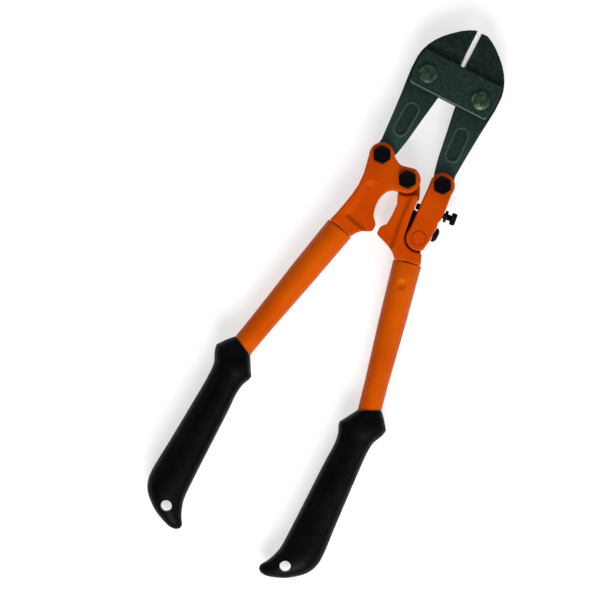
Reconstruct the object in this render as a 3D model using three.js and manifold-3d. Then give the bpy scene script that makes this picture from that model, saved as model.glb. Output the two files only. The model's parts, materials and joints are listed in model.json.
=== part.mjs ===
// Bolt cutters of the 450 mm class, lying flat with the blades towards +Y.
// Millimetres, +Z up. The mechanism is laid out round the centre pivot at (0, 0, 0) and the
// whole group is then moved, so that the middle of the underside of its box is the origin.
import * as THREE from 'three';
import { mergeVertices } from 'three/addons/utils/BufferGeometryUtils.js';
import Module from 'manifold-3d';

const wasm = await Module();
wasm.setup();

// ---------- driving dimensions ----------
const RUN = 0.3;                                   // gap between faces that touch or turn on each other
const PAST = 1;                                    // how far a cut or a joined end runs past a face
const THROUGH = 20;                                // half the length of a drill that goes right through
const FAR = 60;                                    // a cut's side that lies well outside the piece

const rad = THREE.MathUtils.degToRad;

// Pivots, right side; the left side mirrors them about x = 0.
const STRAP_BOLT = { x: 22.75, y: 80, r: 5, headR: 7.4, headH: 3.2, headRim: 1, nutAF: 17 };
const JAW_BOLT = { x: 26.15, y: 8.2, r: 4, headAF: 13, headH: 5.2, nutAF: 13 };
const BOLT_POINT = 0.6;                            // chamfer at a bolt's end
const HEX_CHAMFER = 30;                            // slope of the turned corners of heads and nuts
const CENTRE_PLAY = 1.9;                           // open pivot: play of the tongue on the centre bolt
const LINK_PIN = { x: 28.3, y: -36, r: 3, headR: 5.5, headDepth: 1.6, chamfer: 0.4 };

// Thicknesses, all centred on z = 0.
const JAW_T = 9;
const STRAP_T = 4;
const EAR_T = 5.5;
const NUT_PROUD = 4;                               // nuts reach this far below the forks
const EDGE = 1.1;                                  // forged edge chamfer of the heads
const JAW_EDGE = 0.8;
const STRAP_EDGE = 0.9;

// Jaws and straps.
const BLADE_TIP_Y = 127;
const BLADE_GAP = 1.9;
const BLADE_SHIFT = -1.6;                          // cutting line sits this far off the centre line
const BEVEL_W = 2.6;
const BEVEL_START = 0.8;                           // the ground edge begins this far above the straps
const LAND = 1.2;                                  // flat left on the cutting edge
const STRAP_BOTTOM_Y = 68;
const STRAP_TOP_Y = 97;
const HEAD_HALF_W = 36.3;
const JAW_EYE_R = 8.6;
const PANEL = { x: 22, y: 41.5, w: 10, l: 27, lean: 3, depth: 0.6, rim: 1, rimHeight: 0.4 };

// Forged handle heads.
const EYE_R = 9.8;                                 // fork ears and link round the jaw bolts
const EAR_R = 10.4;                                // fork ears round the centre bolt
const TONGUE_R = 9.3;
const STOP_GAP = 3.5;
const STOP_Y = -44;
const RECESS_DEPTH = 3;                            // its walls slope at 45 degrees
const SHOULDER = 0.9;                              // step from the head's end out to the tube
const SPIGOT = { length: 26, waist: 14, root: 2, tipTaper: 3.2, waistTaper: 1.6, rootTaper: 0.5 };

// Adjusting link.
const LINK_FOOT_R = 10;
const LINK_FOOT_GAP = 1.2;
const LINK_WALL = 3.3;
const LINK_RIGHT_X = 37.1;
const LINK_BRIDGE = { bottom: -31.6, top: -4.4 };  // the wall that joins the link's two cheeks
const SCREW = { y: -11.8, tilt: 7, r: 2.5, tipX: 15.3, point: 0.8, showing: 3, nutAF: 9.2, nutH: 2.6 };
const SCREW_HEAD = { r: 4.8, h: 4.2, chamfer: 0.6 };
const CLAMP = { y: -28.2, r: 2, headR: 5.7, headH: 4, rimH: 2, brow: 0.8, browH: 3.2, crownR: 3.4 };

// Tubes and grips.
const TUBE_WALL = 2;
const SEAM = { x: 29.3, y: -57, lean: 12.6 };
const TUBE_TOP_D = 22.4;
const TUBE_MID = { y: -100, d: 21.2 };
const TUBE_LOW = { y: -150, d: 18.4 };
const TUBE_BEND_Y = -173;
const TUBE_BEND_LENGTH = 12;
const TUBE_END = { x: 57.6, y: -290, d: 17.6 };
const DIMPLE = { y: -74, r: 4, depth: 1 };
const GRIP_HALF_DEPTH = 14.6;
const HANG_HOLE = { inward: 6.1, below: 18.5, r: 4.4 };  // from the middle of the tube's end

// ---------- sizes that follow ----------
const FORK_T = JAW_T + 2 * RUN + 2 * EAR_T;
const SLOT_HALF = JAW_T / 2 + RUN;
const STRAP_Z = JAW_T / 2 + RUN;
const FORK_Z = FORK_T / 2;
const REST_Z = -(FORK_Z + RUN + NUT_PROUD);        // the plane that nuts and grips lie on
const EYE_SLOT_R = JAW_EYE_R + 4 * RUN;
const TONGUE_SLOT_R = TONGUE_R + CENTRE_PLAY;
const SPINE_ARC_R = EAR_R + CENTRE_PLAY + RUN;
const PIN_EYE_R = LINK_PIN.r + 3.1;
const SCREW_SEAT_X = LINK_RIGHT_X + RUN + SCREW.nutAF / Math.sqrt(3) * Math.sin(rad(SCREW.tilt));
const STOP_FACE_X = STOP_GAP / 2;
const HEAD_END_HALF = TUBE_TOP_D / 2 - SHOULDER;
const seamDir = new THREE.Vector2(Math.sin(rad(SEAM.lean)), -Math.cos(rad(SEAM.lean)));
// Across the page at a height y on the axis of the tube's upper leg.
const legX = (y) => SEAM.x + (SEAM.y - y) * Math.tan(rad(SEAM.lean));
const TUBE_BEND = { x: legX(TUBE_BEND_Y), y: TUBE_BEND_Y };

// ---------- materials ----------
function finish(color, roughness, metalness) {
  return new THREE.MeshStandardMaterial({ color, roughness, metalness });
}

const orange = () => finish(0xd24a08, 0.42, 0.0);
const blackSteel = () => finish(0x2a3833, 0.5, 0.7);
const jawSteel = () => finish(0x39443f, 0.5, 0.7);
const boltSteel = () => finish(0x14171a, 0.4, 0.8);
const gripRubber = () => finish(0x1b1e24, 0.5, 0.0);

// ---------- solids ----------
// A closed geometry as a manifold solid.
function solid(geometry) {
  const bare = geometry.index ? geometry.toNonIndexed() : geometry;
  bare.deleteAttribute('normal');
  bare.deleteAttribute('uv');
  const merged = mergeVertices(bare, 1e-3);
  return new wasm.Manifold(new wasm.Mesh({
    numProp: 3,
    vertProperties: new Float32Array(merged.attributes.position.array),
    triVerts: new Uint32Array(merged.index.array),
  }));
}

// A manifold solid as a geometry.
function geometryOf(body) {
  const mesh = body.getMesh();
  const geometry = new THREE.BufferGeometry();
  geometry.setAttribute('position', new THREE.BufferAttribute(new Float32Array(mesh.vertProperties), 3));
  geometry.setIndex(new THREE.BufferAttribute(new Uint32Array(mesh.triVerts), 1));
  geometry.computeVertexNormals();
  return geometry;
}

// A straight plate of an outline between two heights, its edges chamfered if asked.
function plate(outline, z0, z1, chamfer = 0, curveSegments = 8) {
  const shape = outline instanceof THREE.Shape ? outline : new THREE.Shape(outline);
  const geometry = new THREE.ExtrudeGeometry(shape, {
    depth: z1 - z0 - 2 * chamfer,
    bevelEnabled: chamfer > 0,
    bevelSize: chamfer,
    bevelThickness: chamfer,
    bevelOffset: -chamfer,
    bevelSegments: 1,
    curveSegments,
  });
  geometry.translate(0, 0, z0 + chamfer);
  return solid(geometry);
}

const points = (pairs) => pairs.map(([x, y]) => new THREE.Vector2(x, y));

// Points on an arc from one angle to another, in degrees.
function arc(x, y, r, from, to, steps = 8) {
  const list = [];
  for (let i = 0; i <= steps; i += 1) {
    const a = rad(from + (to - from) * i / steps);
    list.push([x + r * Math.cos(a), y + r * Math.sin(a)]);
  }
  return list;
}

// An upright cylinder from z0 to z1.
function rod(x, y, r, z0, z1, sides = 24) {
  const geometry = new THREE.CylinderGeometry(r, r, z1 - z0, sides);
  geometry.rotateX(Math.PI / 2);
  geometry.translate(x, y, (z0 + z1) / 2);
  return solid(geometry);
}

// A body with a hole drilled right through it along z.
const drilled = (body, x, y, r) => body.subtract(rod(x, y, r, -THROUGH, THROUGH));

// A body turned about z from a closed half profile of [radius, height] points.
function turned(profile, sides = 24) {
  const geometry = new THREE.LatheGeometry(profile.map(([r, z]) => new THREE.Vector2(r, z)), sides);
  geometry.rotateX(Math.PI / 2);
  return solid(geometry);
}

// A hexagonal prism with its corners turned off at the faces named.
function hexagon(acrossFlats, z0, z1, chamferTop, chamferBottom) {
  const flatR = acrossFlats / 2;
  const cornerR = acrossFlats / Math.sqrt(3);
  const outside = cornerR + RUN;
  const drop = (outside - flatR) * Math.tan(rad(HEX_CHAMFER));
  const profile = [[0, z0], [chamferBottom ? flatR : outside, z0]];
  if (chamferBottom) profile.push([outside, z0 + drop]);
  if (chamferTop) profile.push([outside, z1 - drop]);
  profile.push([chamferTop ? flatR : outside, z1], [0, z1]);
  return rod(0, 0, cornerR, z0, z1, 6).intersect(turned(profile));
}

// A sine or cosine pulled towards a square of rounded corners.
const rounded = (value, power) => Math.sign(value) * Math.abs(value) ** (2 / power);

// A closed loft through rings. Each ring spans two points in plan, a and b, and is as deep as
// its half depth; power 2 is an ellipse, and more is squarer.
function loft(rings, sides, power) {
  const position = [];
  const index = [];
  const top = rounded(Math.cos(Math.PI / sides), power);   // the highest corner of a ring
  for (const ring of rings) {
    const [ax, ay] = ring.a;
    const [bx, by] = ring.b;
    for (let i = 0; i < sides; i += 1) {
      const turn = (i + 0.5) / sides * 2 * Math.PI - Math.PI / 2;
      const c = rounded(Math.cos(turn), power);
      const s = rounded(Math.sin(turn), power);
      position.push(
        (ax + bx) / 2 + c * (bx - ax) / 2,
        (ay + by) / 2 + c * (by - ay) / 2,
        s / top * ring.depth,
      );
    }
  }
  for (let k = 0; k + 1 < rings.length; k += 1) {
    for (let i = 0; i < sides; i += 1) {
      const j = (i + 1) % sides;
      const [p, q, r, s] = [k * sides + i, k * sides + j, (k + 1) * sides + j, (k + 1) * sides + i];
      index.push(p, s, r, p, r, q);
    }
  }
  for (let i = 1; i + 1 < sides; i += 1) {
    const last = (rings.length - 1) * sides;
    index.push(0, i, i + 1);
    index.push(last, last + i + 1, last + i);
  }
  const geometry = new THREE.BufferGeometry();
  geometry.setAttribute('position', new THREE.BufferAttribute(new Float32Array(position), 3));
  geometry.setIndex(index);
  const body = solid(geometry);
  return body.volume() < 0 ? solid(flipped(geometry)) : body;
}

function flipped(geometry) {
  const turnedOver = geometry.clone();
  const list = Array.from(geometry.index.array);
  for (let i = 0; i < list.length; i += 3) [list[i + 1], list[i + 2]] = [list[i + 2], list[i + 1]];
  turnedOver.setIndex(list);
  return turnedOver;
}

// ---------- the assembly ----------
const cutters = new THREE.Group();

function add(name, body, material) {
  const mesh = new THREE.Mesh(geometryOf(body), material);
  mesh.name = name;
  cutters.add(mesh);
}

const mirrored = (body) => body.mirror([1, 0, 0]);
const onSide = (body, side) => (side < 0 ? mirrored(body) : body);

// ---------- jaws ----------
// A blade above the straps, a shoulder under them and an arm down to the jaw bolt.
function jaw(side) {
  const edgeX = BLADE_GAP / 2 + side * BLADE_SHIFT;
  // The curved back, by its share of the way from the straps up to the tip.
  const back = (share) => THREE.MathUtils.lerp(STRAP_TOP_Y, BLADE_TIP_Y, share);
  const outline = points([
    [edgeX, BLADE_TIP_Y],
    [edgeX, STRAP_TOP_Y - 5],
    [4.2, 82],
    [7.3, STRAP_BOTTOM_Y],
    [8.8, 58],
    [10.6, 47],
    [13.6, 27],
    [15.9, 16],
    ...arc(JAW_BOLT.x, JAW_BOLT.y, JAW_EYE_R, 168, 395, 16),
    [31.9, 19],
    [33, 38],
    [34.2, 55],
    [35.4, STRAP_BOTTOM_Y],
    [HEAD_HALF_W, 78],
    [HEAD_HALF_W, 89],
    [35.2, 95],
    [33, back(0.13)],
    [29.9, back(0.31)],
    [25.7, back(0.49)],
    [20.8, back(0.65)],
    [15.2, back(0.81)],
    [9.6, back(0.93)],
    [5.2, BLADE_TIP_Y],
  ]);
  let body = panelled(sharpened(plate(outline, -JAW_T / 2, JAW_T / 2, JAW_EDGE), edgeX));
  body = drilled(body, STRAP_BOLT.x, STRAP_BOLT.y, STRAP_BOLT.r + RUN);
  body = drilled(body, JAW_BOLT.x, JAW_BOLT.y, JAW_BOLT.r + RUN);
  return onSide(body, side);
}

// The cutting edge, ground from both faces down to its land.
function sharpened(body, edgeX) {
  const top = BLADE_TIP_Y + PAST;
  const foot = STRAP_TOP_Y + BEVEL_START;
  const wedge = new THREE.Shape(points([
    [edgeX - PAST, LAND / 2],
    [edgeX, LAND / 2],
    [edgeX + BEVEL_W, JAW_T / 2],
    [edgeX + BEVEL_W, JAW_T / 2 + PAST],
    [edgeX - PAST, JAW_T / 2 + PAST],
  ]));
  const geometry = new THREE.ExtrudeGeometry(wedge, { depth: top - foot, bevelEnabled: false });
  geometry.rotateX(Math.PI / 2);
  geometry.translate(0, top, 0);
  const cutter = solid(geometry);
  return body.subtract(cutter).subtract(cutter.mirror([0, 0, 1]));
}

// A sunk panel with a raised rim on both faces of the arm.
function panelled(body) {
  const surface = JAW_T / 2;
  const wide = PANEL.w + 2 * PANEL.rim;
  const long = PANEL.l + 2 * PANEL.rim;
  const raised = stadium(wide, long, -surface - PANEL.rimHeight, surface + PANEL.rimHeight);
  const sunk = stadium(PANEL.w, PANEL.l, surface - PANEL.depth, surface + PAST);
  return body.add(raised).subtract(sunk).subtract(sunk.mirror([0, 0, 1]));
}

// A round-ended block along the arm, between two heights.
function stadium(width, length, z0, z1) {
  const r = width / 2;
  const reach = length / 2 - r;
  const outline = points([...arc(0, reach, r, 0, 180, 6), ...arc(0, -reach, r, 180, 360, 6)]);
  return plate(outline, z0, z1).rotate([0, 0, PANEL.lean]).translate([PANEL.x, PANEL.y, 0]);
}

add('left_jaw', jaw(-1), jawSteel());
add('right_jaw', jaw(1), jawSteel());

// ---------- straps ----------
function strap(z0) {
  const half = [
    [0, STRAP_BOTTOM_Y],
    [31.6, STRAP_BOTTOM_Y],
    [33.2, STRAP_BOTTOM_Y + 2],
    [34.4, 78],
    [34.6, 88],
    [33.6, 93.6],
    [32, STRAP_TOP_Y],
    [0, STRAP_TOP_Y],
  ];
  const other = half.slice(1, -1).reverse().map(([x, y]) => [-x, y]);
  const blank = plate(points([...half, ...other]), z0, z0 + STRAP_T, STRAP_EDGE);
  return [-1, 1].reduce(
    (body, side) => drilled(body, side * STRAP_BOLT.x, STRAP_BOLT.y, STRAP_BOLT.r + RUN),
    blank,
  );
}

add('front_strap', strap(STRAP_Z), blackSteel());
add('back_strap', strap(-STRAP_Z - STRAP_T), blackSteel());

// ---------- bolts and nuts ----------
// A bolt's shank from its end on the ground side up to a height, as half a profile.
function shankProfile(r, top) {
  const end = REST_Z + RUN;
  return [[0, end], [r - BOLT_POINT, end], [r, end + BOLT_POINT], [r, top]];
}

function domeBolt(x, y) {
  const seat = STRAP_Z + STRAP_T + RUN;
  const brow = seat + STRAP_BOLT.headRim;
  const crown = seat + STRAP_BOLT.headH;
  const dome = [];
  const steps = 4;
  for (let i = 0; i < steps; i += 1) {
    const a = i / steps * Math.PI / 2;
    dome.push([STRAP_BOLT.headR * Math.cos(a), brow + (crown - brow) * Math.sin(a)]);
  }
  const profile = [...shankProfile(STRAP_BOLT.r, seat), [STRAP_BOLT.headR, seat], ...dome, [0, crown]];
  return turned(profile).translate([x, y, 0]);
}

function hexBolt(x, y) {
  const seat = FORK_Z + RUN;
  const shank = turned([...shankProfile(JAW_BOLT.r, seat + PAST), [0, seat + PAST]]);
  const head = hexagon(JAW_BOLT.headAF, seat, seat + JAW_BOLT.headH, true, false);
  return shank.add(head.rotate([0, 0, 30])).translate([x, y, 0]);
}

function nut(x, y, acrossFlats, boltR, topZ) {
  const blank = hexagon(acrossFlats, REST_Z, topZ, true, true).rotate([0, 0, 30]);
  return drilled(blank, 0, 0, boltR + RUN).translate([x, y, 0]);
}

const STRAP_NUT_TOP = -STRAP_Z - STRAP_T - RUN;
const JAW_NUT_TOP = -FORK_Z - RUN;
for (const [name, side] of [['left', -1], ['right', 1]]) {
  const strapX = side * STRAP_BOLT.x;
  const jawX = side * JAW_BOLT.x;
  const strapNut = nut(strapX, STRAP_BOLT.y, STRAP_BOLT.nutAF, STRAP_BOLT.r, STRAP_NUT_TOP);
  const jawNut = nut(jawX, JAW_BOLT.y, JAW_BOLT.nutAF, JAW_BOLT.r, JAW_NUT_TOP);
  add(`${name}_strap_bolt`, domeBolt(strapX, STRAP_BOLT.y), boltSteel());
  add(`${name}_strap_nut`, strapNut, boltSteel());
  add(`${name}_jaw_bolt`, hexBolt(jawX, JAW_BOLT.y), boltSteel());
  add(`${name}_jaw_nut`, jawNut, boltSteel());
}
add('centre_bolt', hexBolt(0, 0), boltSteel());
add('centre_nut', nut(0, 0, JAW_BOLT.nutAF, JAW_BOLT.r, JAW_NUT_TOP), boltSteel());

// ---------- forged handle heads ----------
// The point on the forging's end face, across the handle's own axis.
const acrossSeam = (across, along) => [
  SEAM.x - seamDir.y * across + seamDir.x * along,
  SEAM.y + seamDir.x * across + seamDir.y * along,
];

// Plug of the forging inside the tube, right side.
function spigot() {
  const r = TUBE_TOP_D / 2 - TUBE_WALL - RUN;
  const body = turned([
    [0, -SPIGOT.length],
    [r - SPIGOT.tipTaper, -SPIGOT.length],
    [r - SPIGOT.waistTaper, -SPIGOT.waist],
    [r - SPIGOT.rootTaper, SPIGOT.root],
    [0, SPIGOT.root],
  ]);
  return body.rotate([-90, 0, 0]).rotate([0, 0, SEAM.lean]).translate([SEAM.x, SEAM.y, 0]);
}

// Shoulder of the head on the seam, right side, as outline points from inside to outside.
const seamPoints = [acrossSeam(-HEAD_END_HALF, -RUN), acrossSeam(HEAD_END_HALF, -RUN)];

// Recess on both faces of a head, open towards the handles' gap, that leaves a rib along the outer side.
function recessed(body, outline) {
  const cutter = plate(points(outline), FORK_Z - RECESS_DEPTH, FORK_Z + RECESS_DEPTH, RECESS_DEPTH);
  return body.subtract(cutter).subtract(cutter.mirror([0, 0, 1]));
}

// Fork head of the left handle, drawn on the right side and mirrored.
function leftHead() {
  const outline = points([
    ...arc(JAW_BOLT.x, JAW_BOLT.y, EYE_R, 335, 500, 12),
    [16, 11],
    [11.5, 8.4],
    [8.4, 7.9],
    ...arc(0, 0, EAR_R, 98, 250, 12),
    [6.2, -12.2],
    [9.9, -15.4],
    [11.8, -20],
    [12.7, -25],
    [12.2, -31],
    [10.6, -36.4],
    [STOP_FACE_X + 6, STOP_Y + 4.4],
    [STOP_FACE_X + 4.2, STOP_Y + 2.4],
    [STOP_FACE_X + 3.9, STOP_Y],
    [STOP_FACE_X + 4.2, STOP_Y - 3.4],
    [8.6, -49],
    [13.6, -51.2],
    [16.6, -54.5],
    ...seamPoints,
    [37.2, -48],
    [35, -39],
    [32.9, -29],
    [31.8, -20],
    [32.2, -10],
    [33.8, -2],
  ]);
  let body = plate(outline, -FORK_Z, FORK_Z, EDGE);
  const eyeSlot = points([
    ...arc(JAW_BOLT.x, JAW_BOLT.y, EYE_SLOT_R, 180, 360, 14),
    [JAW_BOLT.x + 14, JAW_BOLT.y + 2],
    [JAW_BOLT.x + 14, 30],
    [13.4, 30],
    [14.6, 13],
  ]);
  body = body.subtract(plate(eyeSlot, -SLOT_HALF, SLOT_HALF));
  const tongueSlot = points([...arc(0, 0, TONGUE_SLOT_R, -62, 70, 14), [-14, 20], [-14, -20], [3, -20]]);
  body = body.subtract(plate(tongueSlot, -SLOT_HALF, SLOT_HALF));
  body = recessed(body, [
    [3, -54],
    [15, -50.5],
    [29.7, -47.2],
    [31.3, -45.2],
    [28.2, -30],
    ...arc(21.6, -19, 6, 10, 110, 6),
    [12, -16.4],
    [3, -19.5],
  ]);
  body = drilled(body, JAW_BOLT.x, JAW_BOLT.y, JAW_BOLT.r + RUN);
  body = drilled(body, 0, 0, JAW_BOLT.r + RUN);
  return mirrored(body.add(spigot()));
}

// Tongue head of the right handle, with the web that the adjusting link straddles.
function rightHead() {
  const outline = points([
    ...arc(0, 0, SPINE_ARC_R, 262, 318, 6),
    [12.8, -6.2],
    [14.2, -8.8],
    [14.6, -13],
    [15, -21],
    [16.2, -30],
    ...arc(LINK_PIN.x, LINK_PIN.y, LINK_FOOT_R + LINK_FOOT_GAP, 185, 304, 12),
    [36.4, -47],
    ...[...seamPoints].reverse(),
    [15.6, -55.2],
    [10.4, -52.2],
    [4.4, -50],
    [STOP_FACE_X - 1.7, -48.6],
    [-STOP_FACE_X - 0.2, STOP_Y - 3.4],
    [-STOP_FACE_X - 0.5, STOP_Y],
    [-STOP_FACE_X - 0.2, STOP_Y + 2.4],
    [-STOP_FACE_X + 1, STOP_Y + 4.2],
    [1.5, -37.5],
    [2, -30],
    [1.6, -20],
  ]);
  let body = plate(outline, -FORK_Z, FORK_Z, EDGE);
  body = recessed(body, [
    [-8, -60],
    [13.8, -60],
    [13.8, -48],
    [11.8, -34],
    [10.8, -24],
    [10, -8],
    [-8, -8],
  ]);
  const tongue = points([
    ...arc(0, 0, TONGUE_R, 20, 245, 18),
    [0.6, -15],
    [2, -20],
    [12, -20],
    [15.2, -9],
    [11.8, -0.8],
  ]);
  const web = points([
    [10, -18],
    [18, -18],
    [30.9, -26],
    ...arc(LINK_PIN.x, LINK_PIN.y, PIN_EYE_R, 50, -20, 8),
    [34.2, -42],
    [34.4, -50],
    [12, -50],
  ]);
  body = body.add(plate(tongue, -JAW_T / 2, JAW_T / 2)).add(plate(web, -JAW_T / 2, JAW_T / 2));
  body = drilled(body, 0, 0, JAW_BOLT.r + CENTRE_PLAY);
  body = drilled(body, LINK_PIN.x, LINK_PIN.y, LINK_PIN.r + RUN);
  return body.add(spigot());
}

add('left_handle_head', leftHead(), orange());
add('right_handle_head', rightHead(), orange());

// ---------- adjusting link ----------
// A screw's own frame: its axis is z, pointing out of the link's right side.
const outOfLink = (body, x, y, tilt) => body.rotate([0, 90, 0]).rotate([0, 0, tilt]).translate([x, y, 0]);

function link() {
  const outline = points([
    ...arc(JAW_BOLT.x, JAW_BOLT.y, EYE_R, 345, 530, 14),
    [17.3, 2],
    [17.8, -10],
    [18.4, -22],
    [18.9, -31],
    ...arc(LINK_PIN.x, LINK_PIN.y, LINK_FOOT_R, 190, 300, 10),
    [35.4, -43],
    [LINK_RIGHT_X - 0.2, -34],
    [LINK_RIGHT_X, -21.5],
    [LINK_RIGHT_X - 0.9, -19],
    [LINK_RIGHT_X + 0.2, -16.6],
    [LINK_RIGHT_X - 0.1, -7],
    [LINK_RIGHT_X - 1, 0.5],
  ]);
  let body = plate(outline, -FORK_Z, FORK_Z, EDGE);
  const wallX = LINK_RIGHT_X - LINK_WALL;
  const slot = points([
    [0, FAR],
    [0, -FAR],
    [FAR, -FAR],
    [FAR, LINK_BRIDGE.bottom - 1],
    [wallX, LINK_BRIDGE.bottom],
    [wallX, LINK_BRIDGE.top],
    [FAR, LINK_BRIDGE.top + 2],
    [FAR, FAR],
  ]);
  body = body.subtract(plate(slot, -SLOT_HALF, SLOT_HALF));
  body = drilled(body, JAW_BOLT.x, JAW_BOLT.y, JAW_BOLT.r + RUN);
  body = drilled(body, LINK_PIN.x, LINK_PIN.y, LINK_PIN.r + RUN);
  const seatFloor = FORK_Z - LINK_PIN.headDepth - RUN;
  const seat = rod(LINK_PIN.x, LINK_PIN.y, LINK_PIN.headR + RUN, seatFloor, FORK_Z + PAST);
  body = body.subtract(seat).subtract(seat.mirror([0, 0, 1]));
  const screwHole = rod(0, 0, SCREW.r + RUN, screwTip() - PAST, PAST);
  const clampHole = rod(0, 0, CLAMP.r + RUN, -LINK_WALL - PAST, PAST);
  body = body.subtract(outOfLink(screwHole, SCREW_SEAT_X, SCREW.y, SCREW.tilt));
  return body.subtract(outOfLink(clampHole, LINK_RIGHT_X, CLAMP.y, 0));
}

// How deep the adjusting screw's tip lies, along its own axis.
const screwTip = () => -(SCREW_SEAT_X - SCREW.tipX) / Math.cos(rad(SCREW.tilt));

function linkPin() {
  const { r, headR, headDepth, chamfer } = LINK_PIN;
  const half = [
    [headR - chamfer, FORK_Z],
    [headR, FORK_Z - chamfer],
    [headR, FORK_Z - headDepth],
    [r, FORK_Z - headDepth],
  ];
  const lower = half.map(([x, z]) => [x, -z]);
  const profile = [[0, -FORK_Z], ...lower, ...half.reverse(), [0, FORK_Z]];
  return turned(profile).translate([LINK_PIN.x, LINK_PIN.y, 0]);
}

function adjustingScrew() {
  const seat = SCREW.nutH + SCREW.showing;
  const top = seat + SCREW_HEAD.h;
  const shank = turned([
    [0, screwTip()],
    [SCREW.r - SCREW.point, screwTip()],
    [SCREW.r, screwTip() + SCREW.point],
    [SCREW.r, seat + PAST],
    [0, seat + PAST],
  ]);
  const head = turned([
    [0, seat],
    [SCREW_HEAD.r - SCREW_HEAD.chamfer, seat],
    [SCREW_HEAD.r, seat + SCREW_HEAD.chamfer],
    [SCREW_HEAD.r, top - SCREW_HEAD.chamfer],
    [SCREW_HEAD.r - SCREW_HEAD.chamfer, top],
    [0, top],
  ]);
  return outOfLink(shank.add(head), SCREW_SEAT_X, SCREW.y, SCREW.tilt);
}

function lockNut() {
  const blank = hexagon(SCREW.nutAF, RUN, SCREW.nutH, true, false);
  return outOfLink(drilled(blank, 0, 0, SCREW.r + RUN), SCREW_SEAT_X, SCREW.y, SCREW.tilt);
}

function clampScrew() {
  const tip = -LINK_WALL - BOLT_POINT;
  const shank = turned([[0, tip], [CLAMP.r, tip], [CLAMP.r, PAST], [0, PAST]], 16);
  const head = turned([
    [0, RUN],
    [CLAMP.headR, RUN],
    [CLAMP.headR, CLAMP.rimH],
    [CLAMP.headR - CLAMP.brow, CLAMP.browH],
    [CLAMP.crownR, CLAMP.headH],
    [0, CLAMP.headH],
  ]);
  return outOfLink(shank.add(head), LINK_RIGHT_X, CLAMP.y, 0);
}

add('adjusting_link', link(), orange());
add('link_pin', linkPin(), orange());
add('adjusting_screw', adjustingScrew(), boltSteel());
add('adjusting_lock_nut', lockNut(), boltSteel());
add('link_clamp_screw', clampScrew(), boltSteel());

// ---------- tubes ----------
// Rings of a round tube of the right side: a straight taper from the seam, one bend, then the
// grip's line. The rings at both ends can be moved out past the tube's ends.
function tubeRings(shrink, overrun) {
  const upper = rad(SEAM.lean);
  const lower = Math.atan2(TUBE_END.x - TUBE_BEND.x, TUBE_BEND.y - TUBE_END.y);
  const along = ({ x, y }, turn, way) => ({ x: x + way * Math.sin(turn), y: y - way * Math.cos(turn), turn });
  const bendD = (TUBE_LOW.d + TUBE_END.d) / 2;
  const stations = [
    { ...along(SEAM, upper, -overrun), d: TUBE_TOP_D },
    { x: legX(TUBE_MID.y), y: TUBE_MID.y, turn: upper, d: TUBE_MID.d },
    { x: legX(TUBE_LOW.y), y: TUBE_LOW.y, turn: upper, d: TUBE_LOW.d },
    { ...TUBE_BEND, turn: (upper + lower) / 2, d: bendD },
    { ...along(TUBE_BEND, lower, TUBE_BEND_LENGTH), d: TUBE_END.d },
    { ...along(TUBE_END, lower, overrun), d: TUBE_END.d },
  ];
  return stations.map(({ x, y, turn, d }) => {
    const r = d / 2 - shrink;
    const [dx, dy] = [r * Math.cos(turn), r * Math.sin(turn)];
    return { a: [x - dx, y - dy], b: [x + dx, y + dy], depth: r };
  });
}

function tube(side) {
  const outside = loft(tubeRings(0, 0), 24, 2);
  const bore = loft(tubeRings(TUBE_WALL, PAST), 24, 2);
  const share = (SEAM.y - DIMPLE.y) / (SEAM.y - TUBE_MID.y);
  const surface = THREE.MathUtils.lerp(TUBE_TOP_D, TUBE_MID.d, share) / 2;
  const ball = solid(new THREE.SphereGeometry(DIMPLE.r, 12, 8));
  const dimple = ball.translate([legX(DIMPLE.y), DIMPLE.y, side * (surface + DIMPLE.r - DIMPLE.depth)]);
  return onSide(outside.subtract(bore).subtract(dimple), side);
}

// ---------- grips ----------
// Plastic sleeve of the right side, ring by ring. Collar and flare, from the tube's bend:
const GRIP_COLLAR = [
  { a: [-8.7, -3], b: [7.3, 5], depth: 9.6 },
  { a: [-12.6, -9.5], b: [13.6, -0.6], depth: 12.2 },
  { a: [-17, -17], b: [18.4, -7], depth: GRIP_HALF_DEPTH },
  { a: [-16.3, -20.2], b: [17.2, -12.6], depth: GRIP_HALF_DEPTH },
  { a: [-13.9, -26], b: [13.7, -21], depth: 13.4 },
  { a: [-12.7, -35], b: [13.2, -33], depth: 13.6 },
];
// Hand part, by its share of the way from the flare to the tube's end and its reach to each side:
const GRIP_HAND = [
  { share: 0.22, inward: 14.2, outward: 13.2 },
  { share: 0.66, inward: 14.8, outward: 15 },
];
// Hooked end, from the middle of the tube's end:
const GRIP_HOOK = [
  { a: [-15.5, 3], b: [16.4, 3], depth: GRIP_HALF_DEPTH },
  { a: [-15.9, -7], b: [15.4, -8], depth: 14.2 },
  { a: [-17.2, -13], b: [11.8, -15.4], depth: 13.2 },
  { a: [-19, -18], b: [5.8, -21.5], depth: 11.8 },
  { a: [-21, -22], b: [-1.2, -26.5], depth: 10.2 },
  { a: [-23, -25], b: [-9, -30], depth: 8.2 },
  { a: [-23.8, -27.4], b: [-15.6, -32], depth: 5.6 },
  { a: [-23.2, -29.8], b: [-20.2, -31.8], depth: 2.6 },
];

function gripRings() {
  const from = (origin) => ({ a, b, depth }) => ({
    a: [origin.x + a[0], origin.y + a[1]],
    b: [origin.x + b[0], origin.y + b[1]],
    depth,
  });
  const { lerp, inverseLerp } = THREE.MathUtils;
  const flareY = TUBE_BEND.y + GRIP_COLLAR.at(-1).a[1];
  const hand = GRIP_HAND.map(({ share, inward, outward }) => {
    const y = lerp(flareY, TUBE_END.y, share);
    const x = lerp(TUBE_BEND.x, TUBE_END.x, inverseLerp(TUBE_BEND.y, TUBE_END.y, y));
    return { a: [x - inward, y], b: [x + outward, y], depth: GRIP_HALF_DEPTH };
  });
  return [...GRIP_COLLAR.map(from(TUBE_BEND)), ...hand, ...GRIP_HOOK.map(from(TUBE_END))];
}

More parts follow.
